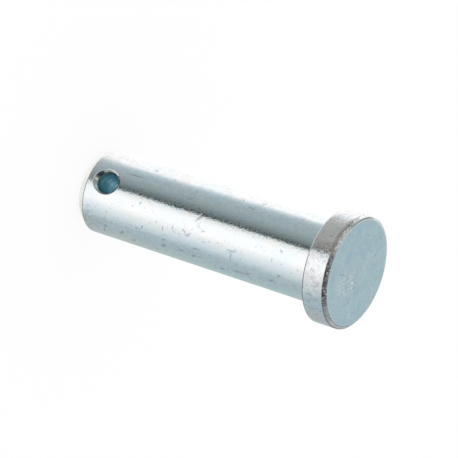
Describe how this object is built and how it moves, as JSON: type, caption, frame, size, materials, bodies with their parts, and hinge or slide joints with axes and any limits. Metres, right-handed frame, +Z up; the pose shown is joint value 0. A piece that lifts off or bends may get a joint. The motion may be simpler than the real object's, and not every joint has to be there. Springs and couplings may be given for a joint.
{
  "type": "clevis pin",
  "caption": "Headed round pin with a flat disc head, a chamfered tip and a countersunk cotter hole across the shank near the tip.",
  "frame": {"origin": "centre of the flat tip face, where the pin stands", "axes": "+Z up the shank to the head, with the cotter hole along Y"},
  "size_m": [0.019, 0.019, 0.0505],
  "materials": {
    "zinc_plate": "bright bluish zinc plate on drawn steel, with fine nicks and draw marks, and a rougher dark sheared edge round the head"
  },
  "bodies": {
    "root": {"clevis_pin": "zinc_plate"}
  },
  "joints": []
}
